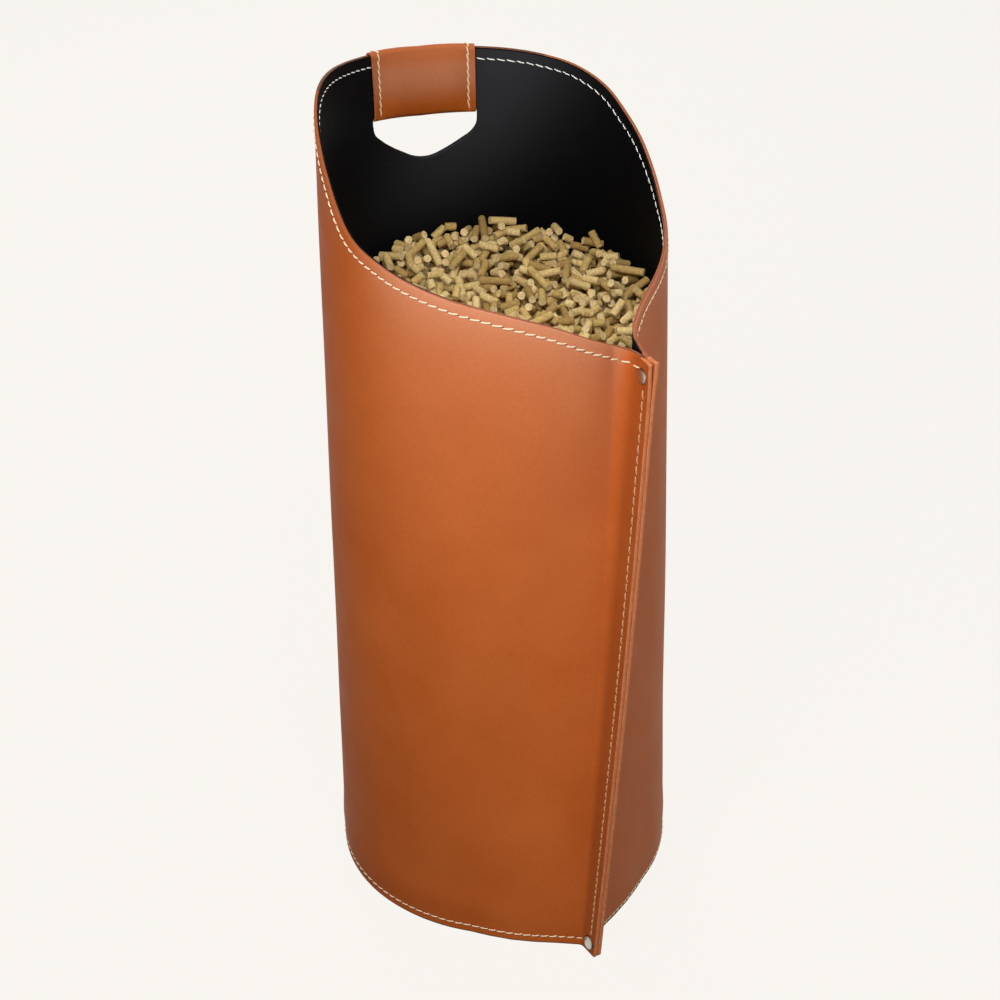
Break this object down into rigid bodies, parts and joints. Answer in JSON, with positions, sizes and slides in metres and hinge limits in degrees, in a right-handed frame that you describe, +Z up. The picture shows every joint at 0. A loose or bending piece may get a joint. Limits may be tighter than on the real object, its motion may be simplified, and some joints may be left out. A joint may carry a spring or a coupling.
{
  "type": "pellet bag",
  "caption": "Tall leather bag for wood pellets: a rolled sheet with a leaning flat seam, a curved rim, and a padded grip over a hand hole.",
  "frame": {"origin": "on the surface it stands on, below the centre of its bounding box", "axes": "+Z up the bag, +X to the right as seen from the seam's side, -Y to the front, where the seam stands out"},
  "size_m": [0.2526, 0.2844, 0.6697],
  "materials": {
    "tan_leather": "smooth, satin",
    "grip_leather": "smooth, satin",
    "black_lining": "smooth, matt black",
    "foam": "matt",
    "fibreboard": "matt",
    "thread": "waxed",
    "rivet_steel": "polished",
    "wood_pellets": "matt, pressed sawdust"
  },
  "bodies": {
    "root": {"outer_leather": "tan_leather", "inner_lining": "black_lining", "grip_wrap": "grip_leather", "grip_pad_inner": "foam", "grip_pad_outer": "foam", "base_leather": "black_lining", "base_board": "fibreboard", "top_rivet_cap": "rivet_steel", "top_rivet_post": "rivet_steel", "bottom_rivet_cap": "rivet_steel", "bottom_rivet_post": "rivet_steel", "rim_thread_left_outer": "thread", "rim_thread_left_inner": "thread", "rim_thread_right_outer": "thread", "rim_thread_right_inner": "thread", "seam_thread_left": "thread", "seam_thread_right": "thread", "base_thread": "thread", "grip_thread_left": "thread", "grip_thread_right": "thread", "pellet_load": "wood_pellets"}
  },
  "joints": []
}
